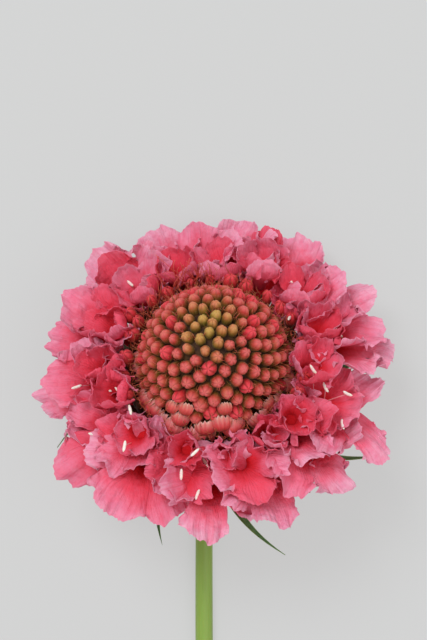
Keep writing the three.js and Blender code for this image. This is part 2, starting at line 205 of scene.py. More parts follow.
class Build:
    """Collects closed pieces of one mesh, with numbers that its material reads at each point."""

    def __init__(self):
        self.points, self.faces, self.marks, self.sides = [], [], [], []
        self.size = 0

    def add(self, points, faces, marks, side=0):
        self.points.append(points)
        self.marks.append(np.broadcast_to(np.asarray(marks, float), points.shape))
        self.sides.append(np.broadcast_to(np.asarray(side, float), len(points)))
        self.faces += [tuple(i + self.size for i in face) for face in faces]
        self.size += len(points)

    def piece(self, name, material, node=None, slot=None, weld=0, in_head=True):
        points = np.concatenate(self.points)
        if in_head:
            points = to_world(points)
        mesh = bpy.data.meshes.new(name)
        mesh.from_pydata((points * MM).tolist(), [], self.faces)
        for key, kind, field, values in (("marks", "FLOAT_VECTOR", "vector", self.marks),
                                         ("side", "FLOAT", "value", self.sides)):
            attribute = mesh.attributes.new(key, kind, "POINT")
            attribute.data.foreach_set(field, np.concatenate(values).ravel())
        if weld:
            bm = bmesh.new()
            bm.from_mesh(mesh)
            bmesh.ops.remove_doubles(bm, verts=bm.verts, dist=weld * MM)
            bm.to_mesh(mesh)
            bm.free()
        mesh.shade_smooth()
        mesh.set_sharp_from_angle(angle=radians(RIM_ANGLE))
        mesh.materials.append(material)
        piece = add_object(name, mesh)
        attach(piece, "root")
        if node:
            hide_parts(node)


def add_object(name, data):
    item = bpy.data.objects.new(name, data)
    bpy.context.scene.collection.objects.link(item)
    return item


def marks_of(a, b, c):
    """The three numbers of each point, from arrays or single numbers."""
    return np.stack(np.broadcast_arrays(a, b, c), axis=-1)


def grid_faces(rows, columns, start=0, closed=False, flip=False):
    """Quads of a grid of points stored row by row. A closed grid joins its last column to its first."""
    faces = []
    for j in range(rows - 1):
        for i in range(columns if closed else columns - 1):
            a, b = start + j * columns + i, start + j * columns + (i + 1) % columns
            quad = (a, b, b + columns, a + columns)
            faces.append(quad[::-1] if flip else quad)
    return faces


def fan_faces(start, sides, end, flip=False):
    """Triangles from a ring of points to one more point."""
    faces = [(start + i, start + (i + 1) % sides, end) for i in range(sides)]
    return [face[::-1] for face in faces] if flip else faces


def shell(build, front, back, marks, open_rows=0):
    """A closed thin shell between two grids of points, but for its long edges along the first open_rows."""
    rows, columns = front.shape[:2]
    count = rows * columns
    faces = grid_faces(rows, columns) + grid_faces(rows, columns, count, flip=True)
    index = np.arange(count).reshape(rows, columns)
    for edge in (index[open_rows:, 0], index[open_rows:, -1][::-1], index[0, ::-1], index[-1]):
        edge = edge.tolist()
        faces += [(a, b, b + count, a + count) for a, b in zip(edge, edge[1:])]
    points = np.concatenate([front.reshape(-1, 3), back.reshape(-1, 3)])
    build.add(points, faces, np.tile(marks.reshape(-1, 3), (2, 1)), np.repeat([1.0, 0.0], count))


def surface_normals(points):
    """Unit normals of a grid of points, from its own slopes."""
    return unit(np.cross(np.gradient(points, axis=1), np.gradient(points, axis=0)))


def thin_shell(build, sheet, thick, marks, open_rows=0, spare=0):
    """A shell about its middle surface, without the spare columns at each side."""
    kept = slice(spare, sheet.shape[1] - spare)
    offset = surface_normals(sheet) * thick / 2
    shell(build, (sheet + offset)[:, kept], (sheet - offset)[:, kept], marks[:, kept], open_rows)


def loop_angles(sides):
    return np.arange(sides) / sides * 2 * pi


def radial(across, along, angles):
    """Directions out from ring centres at some angles, each ring in a plane of two directions."""
    return np.cos(angles)[:, None] * across[..., None, :] + np.sin(angles)[:, None] * along[..., None, :]


def add_rings(build, rings, marks, tip=None):
    """A closed solid through rings of points. Its far end is flat, or a fan if its tip is given."""
    count, sides = rings.shape[:2]
    last = (count - 1) * sides
    points = rings.reshape(-1, 3)
    marks = np.broadcast_to(marks, rings.shape).reshape(-1, 3)
    faces = grid_faces(count, sides, closed=True)
    faces.append(tuple(range(sides))[::-1])
    if tip is None:
        faces.append(tuple(range(last, last + sides)))
    else:
        faces += fan_faces(last, sides, len(points))
        points = np.vstack([points, tip])
        marks = np.vstack([marks, marks[-1]])
    build.add(points, faces, marks)


def tube(build, centres, radii, sides, marks=NO_MARKS, tip=False):
    """A closed tube through centres. It ends flat, or in a point if tip is set."""
    radii = np.broadcast_to(radii, len(centres))
    way = unit(np.gradient(centres, axis=0))
    rings = centres[:, None] + radii[:, None, None] * radial(*frame_of(way), loop_angles(sides))
    point = centres[-1] + way[-1] * radii[-1] if tip else None
    add_rings(build, rings, np.array(marks)[..., None, :], point)


def revolve(build, profile, sides, marks=NO_MARKS):
    """A closed solid of revolution about the head's axis, from a profile of (radius, height)."""
    radius, height = np.array(profile).T[..., None, None]
    add_rings(build, radius * radial(ASIDE, np.cross(UP, ASIDE), loop_angles(sides)) + height * UP, marks)


# ---- Materials ----

def rgb(red, green, blue):
    """Linear colour of an sRGB one, given in 0 to 255."""
    out = []
    for c in (red, green, blue):
        c /= 255
        out.append(c / 12.92 if c <= 0.04045 else ((c + 0.055) / 1.055) ** 2.4)
    return (*out, 1)


def soft(weight, scale):
    return {"Subsurface Weight": weight, "Subsurface Scale": scale}


DOWN = rgb(255, 214, 196)


class Nodes:
    """A material, with short calls for its nodes. Inputs are numbers, colours or other nodes' outputs."""

    def __init__(self, name, inputs):
        self.material = bpy.data.materials.new(name)
        self.material.use_nodes = True
        self.tree = self.material.node_tree
        self.shader = self.feed(self.tree.nodes["Principled BSDF"], inputs)

    def feed(self, node, inputs):
        for key, value in inputs.items():
            if isinstance(value, bpy.types.NodeSocket):
                self.tree.links.new(value, node.inputs[key])
            else:
                node.inputs[key].default_value = value
        return node

    def add(self, kind, inputs, **settings):
        node = self.tree.nodes.new("ShaderNode" + kind)
        for key, value in settings.items():
            setattr(node, key, value)
        return self.feed(node, inputs)

    def attribute(self, name, output):
        return self.add("Attribute", {}, attribute_name=name).outputs[output]

    def marks(self):
        return self.add("SeparateXYZ", {0: self.attribute("marks", "Vector")}).outputs

    def side(self):
        return self.attribute("side", "Fac")

    def math(self, operation, a, b=0):
        return self.add("Math", {0: a, 1: b}, operation=operation).outputs[0]

    def times(self, a, b):
        return self.math("MULTIPLY", a, b)

    def plus(self, a, b):
        return self.math("ADD", a, b)

    def minus(self, a, b):
        return self.math("SUBTRACT", a, b)

    def stirred(self, value, noise, amount):
        """A value that a noise moves up and down."""
        return self.plus(value, self.times(self.minus(noise, 0.5), amount))

    def ramp(self, factor, *stops):
        node = self.add("ValToRGB", {0: factor})
        elements = node.color_ramp.elements
        while len(elements) < len(stops):
            elements.new(0.5)
        for element, (place, colour) in zip(elements, stops):
            element.position, element.color = place, colour
        return node.outputs["Color"]

    def fade(self, factor, start, end, low=0, high=1):
        """A number that goes from low to high while the factor goes from start to end."""
        return self.ramp(factor, (start, (low, low, low, 1)), (end, (high, high, high, 1)))

    def mix(self, factor, a, b):
        return self.add("Mix", {0: factor, 6: a, 7: b}, data_type="RGBA").outputs[2]

    def noise(self, scale, detail=3, roughness=0.5, vector=None):
        vector = vector or self.add("TexCoord", {}).outputs["Object"]
        inputs = {"Vector": vector, "Scale": scale, "Detail": detail, "Roughness": roughness}
        return self.add("TexNoise", inputs).outputs["Fac"]

    def streaks(self, across, along, third=0, detail=2, roughness=0.6):
        """Noise in a surface's own coordinates, drawn out along it."""
        vector = self.add("CombineXYZ", {0: across, 1: along, 2: third}).outputs[0]
        return self.noise(1, detail, roughness, vector)

    def bump(self, height, distance, strength):
        node = self.add("Bump", {"Strength": strength, "Distance": distance, "Height": height})
        self.feed(self.shader, {"Normal": node.outputs["Normal"]})

    def colour(self, socket):
        self.feed(self.shader, {"Base Color": socket})
        return self.material


def petal_material():
    """Frilled pink tissue: crimson in the throat, paler to the edge and on the back, with fine veins,
    painted highlights and painted shade.
    """
    m = Nodes("petal", {"Roughness": 0.6, **soft(0.3, 0.0005),
                        "Subsurface Radius": (0.5, 0.6, 0.6), "Specular IOR Level": 0.03})
    across, along, tint = m.marks()
    reach = m.stirred(along, m.noise(420), 0.5)
    base = m.ramp(reach, (0, rgb(186, 14, 14)), (0.22, rgb(220, 38, 46)), (0.42, rgb(234, 80, 103)),
                  (0.62, rgb(239, 104, 134)), (0.84, rgb(237, 124, 158)), (1, rgb(238, 142, 176)))
    back = m.mix(m.times(m.side(), 0.3), base, rgb(240, 106, 134))
    # Painted highlight: pale patches from a noise towards the lobes' edges, partly the petals' own pale
    # mottling, fainter on lobes with a high tint.
    mottle_and_highlight = m.times(m.fade(reach, 0.45, 1), m.fade(m.noise(650, 4), 0.3, 0.7, low=0.25))
    pale = m.mix(m.times(mottle_and_highlight, m.minus(0.95, tint)), back, rgb(246, 184, 207))
    # Painted shade: lobes with a high tint, most of all on the inner rings that lie in shade, are painted a
    # deeper crimson in place of light bounced between petals.
    deep = m.mix(m.fade(tint, 0.3, 1, high=0.65), pale, rgb(234, 60, 76))
    streak = m.streaks(m.times(across, 15), m.times(along, 1.6), tint)
    veined = m.mix(m.times(m.math("POWER", streak, 3), 0.8), deep, rgb(216, 42, 64))
    m.bump(m.plus(streak, m.times(m.noise(900), 1.2)), 0.0005, 0.7)
    return m.colour(veined)


def bud_material():
    """Downy closed buds: greenish where young and at their bases, salmon to red where old, with painted
    shade at their feet and in their furrows.
    """
    m = Nodes("bud", {"Roughness": 0.65, **soft(0.15, 0.0006),
                      "Sheen Weight": 0.12, "Sheen Tint": DOWN, "Specular IOR Level": 0.15})
    height, age, red = m.marks()
    fine = m.noise(3200)
    # Painted shade: each of these ramps runs dark at the bud's foot, where shade falls between the crowded
    # buds, and lightest at the crown; the green and olive hues are the buds' own.
    young = m.ramp(height, (0, rgb(50, 42, 2)), (0.64, rgb(130, 116, 28)), (1, rgb(196, 158, 84)))
    grown = m.ramp(height, (0, rgb(52, 18, 0)), (0.5, rgb(106, 66, 8)), (0.8, rgb(184, 58, 52)),
                   (1, rgb(218, 102, 102)))
    bright = m.ramp(height, (0, rgb(90, 34, 10)), (0.5, rgb(210, 30, 50)), (1, rgb(230, 64, 82)))
    ripe = m.mix(m.stirred(age, m.noise(700), 0.9), young, grown)
    # Painted shade: dark red-brown in the furrows between the lobes and in the crown's dimple, read from
    # the side attribute.
    furrow_shade = m.mix(m.times(m.side(), 0.25), m.mix(red, ripe, bright), rgb(116, 30, 24))
    m.bump(fine, 0.00012, 0.5)
    return m.colour(m.mix(m.fade(fine, 0.45, 0.8, high=0.2), furrow_shade, rgb(220, 150, 126)))


def half_open_material():
    """Florets about to open: salmon lobes with pale toothed edges over a greenish base."""
    m = Nodes("half_open", {"Roughness": 0.6, **soft(0.3, 0.0008),
                            "Sheen Weight": 0.15, "Sheen Tint": DOWN})
    across, along, tint = m.marks()
    streak = m.streaks(m.times(across, 9), m.times(along, 1.5), tint)
    reach = m.stirred(along, streak, 0.35)
    plain = m.ramp(reach, (0, rgb(84, 44, 10)), (0.25, rgb(176, 50, 40)), (0.55, rgb(218, 82, 76)),
                   (0.85, rgb(232, 136, 118)), (1, rgb(248, 196, 174)))
    rosy = m.ramp(reach, (0, rgb(170, 24, 30)), (0.5, rgb(232, 62, 86)), (1, rgb(250, 152, 164)))
    wave = m.math("SINE", m.times(across, SHELL.ribs * pi))
    ribbed = m.mix(m.times(m.plus(wave, 1), 0.22), plain, rgb(196, 44, 50))
    pinker = m.mix(m.times(tint, 0.55), ribbed, rosy)
    m.bump(streak, 0.0002, 0.5)
    return m.colour(m.mix(m.times(m.minus(1, m.side()), 0.8), pinker, rgb(196, 30, 44)))


def core_material():
    # Painted shade: the receptacle, its skirt and calyxes are a near-black brown for the shade in the gaps
    # between buds and florets, partly their own dark olive.
    m = Nodes("receptacle", {"Roughness": 0.8})
    return m.colour(m.ramp(m.noise(900), (0.35, rgb(46, 14, 0)), (0.65, rgb(80, 46, 4))))


def bristle_material():
    """Olive to rusty hairs, paler to their points."""
    m = Nodes("bristle", {"Roughness": 0.6})
    root, tone, _ = m.marks()
    olive = m.ramp(root, (0, rgb(70, 52, 4)), (1, rgb(126, 100, 28)))
    rusty = m.ramp(root, (0, rgb(110, 36, 14)), (0.5, rgb(214, 72, 60)), (1, rgb(238, 116, 104)))
    return m.colour(m.mix(tone, olive, rusty))


def anther_material():
    """White anthers on pink filaments."""
    m = Nodes("anther", {"Roughness": 0.5, **soft(0.2, 0.0005)})
    part, _, _ = m.marks()
    white = m.ramp(m.noise(2500), (0.3, rgb(238, 222, 214)), (0.7, rgb(255, 248, 240)))
    return m.colour(m.mix(part, rgb(232, 150, 160), white))


def bract_material():
    """Dark green leaf with fine ribs and pale edges."""
    m = Nodes("bract", {"Roughness": 0.45, **soft(0.08, 0.0006)})
    across, along, _ = m.marks()
    body = m.ramp(m.noise(500), (0.3, rgb(48, 88, 38)), (0.7, rgb(84, 124, 62)))
    rim = m.fade(m.math("ABSOLUTE", across), 0.72, 1)
    m.bump(m.streaks(m.times(across, 9), m.times(along, 3), roughness=0.5), 0.0002, 0.5)
    return m.colour(m.mix(m.times(rim, 0.7), body, rgb(150, 172, 104)))


def stem_material():
    """Smooth ribbed stem: light yellow-green, paler along its ribs, pale and fibrous at the cut."""
    m = Nodes("stem", {"Roughness": 0.42, **soft(0.12, 0.001)})
    beside, along, cut = m.marks()
    fine = m.streaks(m.times(beside, 9), m.times(along, 0.09), detail=4)
    green = m.ramp(fine, (0.2, rgb(122, 152, 58)), (0.5, rgb(132, 163, 67)), (0.85, rgb(143, 174, 80)))
    pith = m.ramp(m.noise(3000), (0.3, rgb(190, 204, 140)), (0.7, rgb(222, 228, 180)))
    m.bump(fine, 0.0001, 0.4)
    return m.colour(m.mix(cut, green, pith))


def floor_material():
    """A matt pale surface that glows faintly, so that it takes only faint shadows."""
    m = Nodes("floor", {"Roughness": 0.9, "Specular IOR Level": 0.1, "Emission Strength": 0.46,
                        "Emission Color": (0.99, 1, 1, 1)})
    return m.colour(m.ramp(m.noise(2, 1), (0, rgb(116, 116, 116)), (1, rgb(120, 120, 120))))


# ---- Ray florets ----

# How a real lobe departs from the solid's plain one. Lengths are shares of the lobe's half width.
OUTLINE = Sizes(widest=0.68, root=0.8, round=0.76, arc=88, scallop=0.07, tooth=0.08, calm=0.7, side=0.06,
                blade=0.45)
RELIEF = Sizes(ruffle=0.25, crimp=0.12, dent=0.2, twist=0.16, lap=0.1, hollow=0.3)
WAVES = Sizes(scallop=2.6, tooth=0.6, side=6, ruffle=1.8, dent=1.4, dent_along=3, crimp=5)
VARIED = Sizes(length=0.16, width=0.2, slope=19, turn=0.14, spoon=0.18, skew=0.3, slide=0.25, tint=0.4)
THICK = Sizes(throat=0.34, edge=0.06, lower=0.6)
FUSED_ROWS = 6
FREE_ROWS = 16
FUNNEL_STEPS = 14
VEIN_SHIFT = 2.3
WELD = 0.002


def floret_of(ring, i):
    """Everything that sets one floret apart: its place, the way its mouth faces, and its size."""
    draw = draws(ring.seed, i)
    azimuth = radians((i + UNEVEN.place * draw(0)) / ring.count * 360 + ring.seed)
    face = radians(ring.face + UNEVEN.face * draw(1))
    twist = radians(ring.twist + UNEVEN.twist * draw(2))
    out = around(azimuth)
    normal = unit(UP * cos(face) + out * sin(face) + np.cross(UP, out) * sin(twist))
    outward = unit(out - normal * (out @ normal))
    grown = 1 - ring.young * facing_opening(azimuth)
    lopsided = LOPSIDED.share * cos(azimuth - radians(LOPSIDED.towards))
    floret = Sizes(**vars(ring), item=i, azimuth=azimuth, normal=normal, outward=outward)
    floret.sideways = np.cross(normal, outward)
    height = ring.height + UNEVEN.height * draw(4)
    floret.place = out * (ring.radius + UNEVEN.radius * draw(3)) + UP * height
    floret.length = ring.lobe * grown * (1 + UNEVEN.lobe * draw(5) + lopsided)
    floret.width = ring.width * grown
    floret.flare = radians(ring.flare + UNEVEN.slope * draw(6))
    floret.inner = radians(ring.inner + UNEVEN.slope * draw(7))
    floret.phase = pi * draw(8)
    return floret


def ripple(x, waves, draw, first):
    """An uneven wave, mostly from -1 to 1, with about this many waves from x = -1 to x = 1."""
    a, b, c = (pi * draw(first + k) for k in range(3))
    w = pi * waves
    return 0.62 * np.sin(w * x + a) + 0.3 * np.sin(1.73 * w * x + b) + 0.22 * np.sin(2.41 * w * x + c)


def free_part(v):
    """From 0 where the lobes part to 1 at their edges."""
    return np.clip((v - COROLLA.fused) / (1 - COROLLA.fused), 0, 1)


def in_floret(floret, x, y, z):
    """Points at distances along a floret's outward, sideways and normal directions."""
    return (floret.place + floret.outward * x[..., None] + floret.sideways * y[..., None]
            + floret.normal * z[..., None])


def funnel(floret, theta, v, length, tilt, bend):
    """Points of a floret's funnel: v runs from 0 at the throat to 1 at the edge, round the mouth by theta.

    The free part of a lobe is tilted as a whole and bent more and more towards its edge.
    """
    flat = lerp(floret.inner, floret.flare, (1 + np.cos(theta)) / 2)
    radius = np.full_like(v, COROLLA.throat)
    rise = np.zeros_like(v)
    step = length * v / FUNNEL_STEPS
    for k in range(FUNNEL_STEPS):
        at = v * (k + 0.5) / FUNNEL_STEPS
        free = free_part(at)
        slope = flat + (radians(COROLLA.steep) - flat) * np.exp(-at / COROLLA.bend)
        slope = slope + tilt * smooth(free, 0, COROLLA.hinge) + bend * free
        radius = radius + np.cos(slope) * step
        rise = rise + np.sin(slope) * step
    return in_floret(floret, radius * np.cos(theta), radius * np.sin(theta), rise)


def lobe_sheet(floret, lobe):
    """The middle surface of one lobe and its marks, as grids with a spare column at each side.

    Below the notches the lobe is its share of the funnel. Above them it goes over into a blade of its own.
    """
    item = floret.item * LOBES + lobe
    draw = draws(floret.seed + 100, item)
    rows = np.append(np.linspace(0, COROLLA.fused, FUSED_ROWS, endpoint=False),
                     np.linspace(COROLLA.fused, 1, FREE_ROWS + 1))
    columns = np.arange(-1, floret.columns + 2) * 2 / floret.columns - 1
    v, u = np.meshgrid(rows, columns, indexing="ij")
    free = free_part(v)
    half = pi / LOBES
    middle = lobe * 2 * half
    outermost = (1 + cos(middle)) / 2
    size = floret.length * lerp(floret.shortest, 1, outermost)
    width = floret.width * lerp(floret.narrowest, 1, outermost) * (1 + VARIED.width * draw(0))

    teeth = OUTLINE.scallop * ripple(u, WAVES.scallop, draw, 23)
    teeth = teeth + OUTLINE.tooth * np.abs(ripple(u, WAVES.tooth * floret.teeth, draw, 26))
    teeth = teeth * (1 - OUTLINE.calm * np.clip(np.abs(u), 0, 1) ** 4)
    arc = radians(OUTLINE.arc)
    sagging = OUTLINE.round * (1 - np.cos(arc * u)) / (1 - cos(arc))
    reach = v * (1 + (free ** 2 * teeth - free * sagging) * width / size)

    theta = middle + half * u
    length = floret.length * lerp(floret.shortest, 1, (1 + np.cos(theta)) / 2)
    length = length * (1 + VARIED.length * draw(2) * free)
    tilt = radians(VARIED.slope * draw(3))
    bend = radians(lerp(floret.curl_in, floret.curl_out, outermost) + floret.curl_uneven * draw(4))
    bend = bend * (1 + VARIED.skew * draw(5) * u)
    shared = funnel(floret, theta, reach, length, tilt, bend)

    way = middle + VARIED.turn * draw(1) * free
    spine = funnel(floret, way, reach, length, tilt, bend)
    tangent = floret.sideways * np.cos(way)[..., None] - floret.outward * np.sin(way)[..., None]
    normal = unit(np.cross(np.gradient(spine, axis=0), tangent))
    swell = lerp(OUTLINE.root, 1, np.sin(pi / 2 * np.clip(free / OUTLINE.widest, 0, 1)))
    swell = swell + OUTLINE.side * np.abs(u) ** 3 * ripple(v, WAVES.side, draw, 20)
    aside = width * swell * np.sin(arc * u) / sin(arc)
    spoon = width * (floret.spoon + VARIED.spoon * draw(7)) * (u ** 2 - RELIEF.hollow) * free
    blade = spine + tangent * aside[..., None] + normal * spoon[..., None]
    sheet = lerp(shared, blade, smooth(free, 0, OUTLINE.blade)[..., None])

    lift = FRILL.height * free * np.sin(pi * FRILL.waves * (u + 1) + floret.phase + FRILL.turn * lobe)
    lift = lift + RELIEF.lap * free ** 0.7 * u + RELIEF.twist * draw(8) * free * u
    slid = u + VARIED.slide * draw(9) * v
    lift = lift + RELIEF.ruffle * free ** 1.4 * ripple(slid, WAVES.ruffle, draw, 29)
    dents = ripple(u, WAVES.dent, draw, 35) * ripple(v, WAVES.dent_along, draw, 38)
    lift = lift + RELIEF.dent * free * dents + RELIEF.crimp * free ** 2 * ripple(u, WAVES.crimp, draw, 32)
    sheet = sheet + surface_normals(sheet) * (width * floret.folds * lift)[..., None]
    sheet = clear_of_surface(clear_of_dome(sheet), floret.floor - THICK.lower)

    # Painted shade: the ring's deepening, highest on the inner ring, plus the lobe's own random tone, sets
    # how deep a crimson the lobe is painted.
    tint = np.clip(floret.deep + VARIED.tint * draw(10), 0, 1)
    return sheet, marks_of(u + VEIN_SHIFT * item, v, tint)


def corolla(build, floret):
    """One corolla as a closed thin shell: a funnel whose mouth is split into five lobes."""
    for lobe in range(LOBES):
        sheet, marks = lobe_sheet(floret, lobe)
        thick = lerp(THICK.throat, THICK.edge, smooth(marks[:, :1, 1:2]))
        thin_shell(build, sheet, thick, marks, FUSED_ROWS, spare=1)


TUBE = Sizes(foot=0.585, mouth=1.2, widens=0.4, elbow=1.8, rise=1.2, below=0.3, sunk=1, steps=12, sides=12)


def floret_tube(build, floret):
    """The slender tube below a corolla, from inside the collar to the foot of its funnel."""
    out = unit(floret.place * [1, 1, 0])
    root = out * (lerp(COLLAR.foot_radius, COLLAR.top_radius, floret.root) - TUBE.sunk)
    root[2] = lerp(COLLAR.foot, COLLAR.top, floret.root)
    elbow = out * (np.linalg.norm(floret.place[:2]) - TUBE.elbow)
    elbow[2] = min(floret.place[2] - TUBE.rise, COLLAR.top - TUBE.below) - TUBE.below
    t = np.linspace(0, 1, TUBE.steps + 1)
    radii = lerp(TUBE.foot, TUBE.mouth, smooth(t, TUBE.widens, 1))
    tube(build, curve_through(root, elbow, floret.place, TUBE.steps), radii, TUBE.sides,
         marks_of(0, lerp(0.95, 0, t), 0.5))


STAMENS = Sizes(towards=(128, 183, 221, 247, 264, 341, 12, 42, 72), within=9, count=2, length=4.8,
                uneven=1.2, longer=0.12, lean=0.5, lean_uneven=0.35, turn_uneven=0.2, start=0.5, arch=0.6,
                radius=0.09, steps=8, sides=5)
ANTHER = Sizes(half=0.95, radius=0.28, blunt=1.05, taper=0.6, bow=0.2, rise=0.4, turn=0.5, steps=8, sides=8)


def stamens(build, floret):
    """Pale filaments that stand out of a throat, each with a long white anther."""
    for k in range(STAMENS.count):
        draw = draws(floret.seed + 60, floret.item * 7 + k)
        turn = 2 * pi * (k / STAMENS.count + STAMENS.turn_uneven * draw(1))
        aside = floret.outward * cos(turn) + floret.sideways * sin(turn)
        way = unit(floret.normal + aside * (STAMENS.lean + STAMENS.lean_uneven * draw(2)))
        way = way * (STAMENS.length + STAMENS.uneven * draw(3) + STAMENS.longer * floret.length)
        start = floret.place + (floret.normal + aside) * STAMENS.start
        end = start + way + aside * STAMENS.arch
        filament = clear_of_dome(curve_through(start, start + way * STAMENS.arch, end, STAMENS.steps))
        tube(build, filament, STAMENS.radius, STAMENS.sides)
        along = unit(aside + floret.normal * ANTHER.rise * draw(4))
        along = unit(along + ANTHER.turn * draw(5) * floret.sideways)
        s = np.linspace(-1, 1, ANTHER.steps)
        centres = filament[-1] + along * (s * ANTHER.half)[:, None]
        centres = centres + floret.normal * (ANTHER.bow * s ** 2)[:, None]
        radii = ANTHER.radius * (ANTHER.blunt - ANTHER.taper * s ** 4)
        tube(build, centres, radii, ANTHER.sides, (1, 0, 0), tip=True)


def ray_florets():
    petals = petal_material()
    anthers = Build()
    collar = Build()
    profile = [(COLLAR.hub, COLLAR.foot), (COLLAR.foot_radius, COLLAR.foot),
               (COLLAR.top_radius, COLLAR.top), (COLLAR.hub, COLLAR.top)]
    revolve(collar, profile, COLLAR.sides, (0, 0.9, 0.5))
    for ring in RINGS:
        for part, name in enumerate(("even", "odd")):
            build = Build()
            for i in range(part, ring.count, 2):
                floret = floret_of(ring, i)
                corolla(build, floret)
                floret_tube(collar, floret)
                nearest = min(degrees_from(floret.azimuth, a) for a in STAMENS.towards)
                if ring.name != "inner" and nearest < STAMENS.within:
                    stamens(anthers, floret)
            build.piece(f"{ring.name}_florets_{name}", petals, "ray_florets", "petals", weld=WELD)
    collar.piece("ray_floret_tubes", petals, "ray_florets", "petals")
    anthers.piece("stamens", anther_material(), slot="petals")


# ---- Disc florets ----

BUD_ROWS = 13
BUD_SIDES = 20
EGG = Sizes(girth=1.04, length=1.75, widest=0.55, foot=0.6, crown=2.3, lean=0.16, uneven=0.06, oval=0.05,
            lump=0.03)
FURROW = Sizes(depth=0.09, dimple=0.08, sharp=1.6, low=0.3, high=0.95, uneven=0.5, crown=0.6)
RED = Sizes(above=0.74, behind=0.7, after=0.06, girth=0.1, furrow=0.9, tone=0.8)
AGE = Sizes(first=0.04, pace=8, uneven=0.28, base=0.3)
LATE = Sizes(before=0.42, above=0.2, girth=1.22)


def on_core(polar, azimuth):
    """A point of the core's surface, and the way that a floret stands there."""
    place = around(azimuth) * CORE.radius * sin(polar) + UP * CORE.height * cos(polar)
    return place, unit(place - UP * CORE.heart)


def bud_of(index):
    """The place, axis and size of one bud. The core's own spiral of points carries them."""
    draw = draws(0, index)
    share = (index + 0.5) / BUDS.count
    azimuth = radians(GOLDEN_ANGLE * index)
    place, axis = on_core(radians(BUDS.reach * share ** BUDS.spread), azimuth)
    radius = lerp(BUD.young, BUD.old, smooth(share * BUDS.ageing)) * (1 + BUDS.uneven * draw(3))
    radius *= lerp(1, BUD.foot, smooth(share, BUD.foot_from, BUD.foot_to))
    height = BUD.height * (1 + BUDS.uneven * draw(4))
    first = BUDS.count - BUDS.opened - OPENING.more * facing_opening(azimuth)
    grown = (index - first) / (BUDS.count - first)
    crowded = grown > HALF_OPEN.skip_from and index % HALF_OPEN.skip == 0
    late = 0 <= grown < LATE.before and draw(14) > LATE.above
    if late:
        radius *= LATE.girth
    closed = grown < 0 or late
    return Sizes(index=index, share=share, place=place, axis=axis, radius=radius, height=height, furrow=1,
                 grown=grown, closed=closed, opened=not closed and not crowded)


def closed_bud(build, bud):
    """An egg-shaped bud with a blunt crown, and furrows where its five lobes meet."""
    draw = draws(0, bud.index)
    across, along = frame_of(bud.axis)
    axis = unit(bud.axis + EGG.lean * (across * draw(5) + along * draw(6)))
    back = max(0, unit(bud.axis * [1, 1, 0])[1]) * bud.share
    red = bud.share > 1 or bud.share > RED.after and draw(7) > RED.above - RED.behind * back
    length = bud.height * EGG.length
    tip = bud.place + axis * bud.height * (1 + EGG.uneven * draw(8))
    t = np.sin(np.arange(BUD_ROWS) / BUD_ROWS * pi / 2)[:, None]
    a = loop_angles(BUD_SIDES)
    crown = np.clip((t - EGG.widest) / (1 - EGG.widest), 0, 1)
    profile = np.where(t < EGG.widest,
                       lerp(EGG.foot, 1, np.sin(pi / 2 * t / EGG.widest)),
                       (1 - crown ** EGG.crown) ** (1 / EGG.crown))
    seam = np.clip(1 - FURROW.sharp * np.abs(np.sin(LOBES * a / 2)), 0, 1)
    seam = seam * smooth(t, FURROW.low, FURROW.high)
    seam = seam * (1 + RED.furrow * red + FURROW.uneven * draw(13)) * bud.furrow
    dent = 1 + EGG.oval * np.sin(2 * a + 4 * draw(9)) + EGG.lump * np.sin(3 * a + bud.index)
    girth = bud.radius * EGG.girth * (1 + RED.girth * red)
    spread = girth * profile * dent * (1 - FURROW.depth * seam)
    rise = length * (t - 1) - FURROW.dimple * seam
    rings = tip + rise[..., None] * axis + spread[..., None] * radial(*frame_of(axis), a + bud.index)
    ends = [tip - axis * length, tip - axis * FURROW.dimple * (1 + red)]
    count = BUD_ROWS * BUD_SIDES
    faces = grid_faces(BUD_ROWS, BUD_SIDES, closed=True) + fan_faces(0, BUD_SIDES, count, flip=True)
    faces += fan_faces(count - BUD_SIDES, BUD_SIDES, count + 1)
    height = np.append(np.repeat(np.clip((t - AGE.base) / (1 - AGE.base), 0, 1), BUD_SIDES), [0, 1])
    age = np.clip(AGE.first + AGE.pace * bud.share + AGE.uneven * draw(10), 0, 1)
    # The side attribute carries the furrows and the crown's dimple, which the bud material paints dark as
    # painted shade.
    build.add(np.vstack([rings.reshape(-1, 3), *ends]), faces, marks_of(height, age, RED.tone * red),
              np.append(seam, [0, FURROW.crown]))


HALF_OPEN = Sizes(small=1.15, large=1.95, uneven=0.12, height=1.1, wide=1.14, inward=1.5, lean=0.25,
                  turn=0.3, stand=0.5, closing=0.8, skip=4, skip_from=0.25, sides=12)
SHELL = Sizes(foot=18, rows=10, columns=16, ribs=6, rib=0.07, tooth=24, notch=0.7, corner=0.14, flare=0.16,
              skew=0.05, edge=0.05, base=0.16, closing=14, reach=7, turn=8, rise=0.06)
# Each lobe of a half-open floret: its turn from the outer side, half width, reach over the top, and layer.
SHELL_LOBES = ((144, 42, 66, 0.8), (-144, 42, 68, 0.83), (78, 46, 88, 0.9), (-78, 46, 84, 0.94),
               (0, 76, 114, 1.12))
# The closed heart below the lobes: pairs of depth and girth, as shares of the floret's size.
HEART = np.array([(1, 0.25), (0.75, 0.6), (0.45, 0.75), (0.15, 0.7), (0, 0.5), (-0.05, 0.2)])


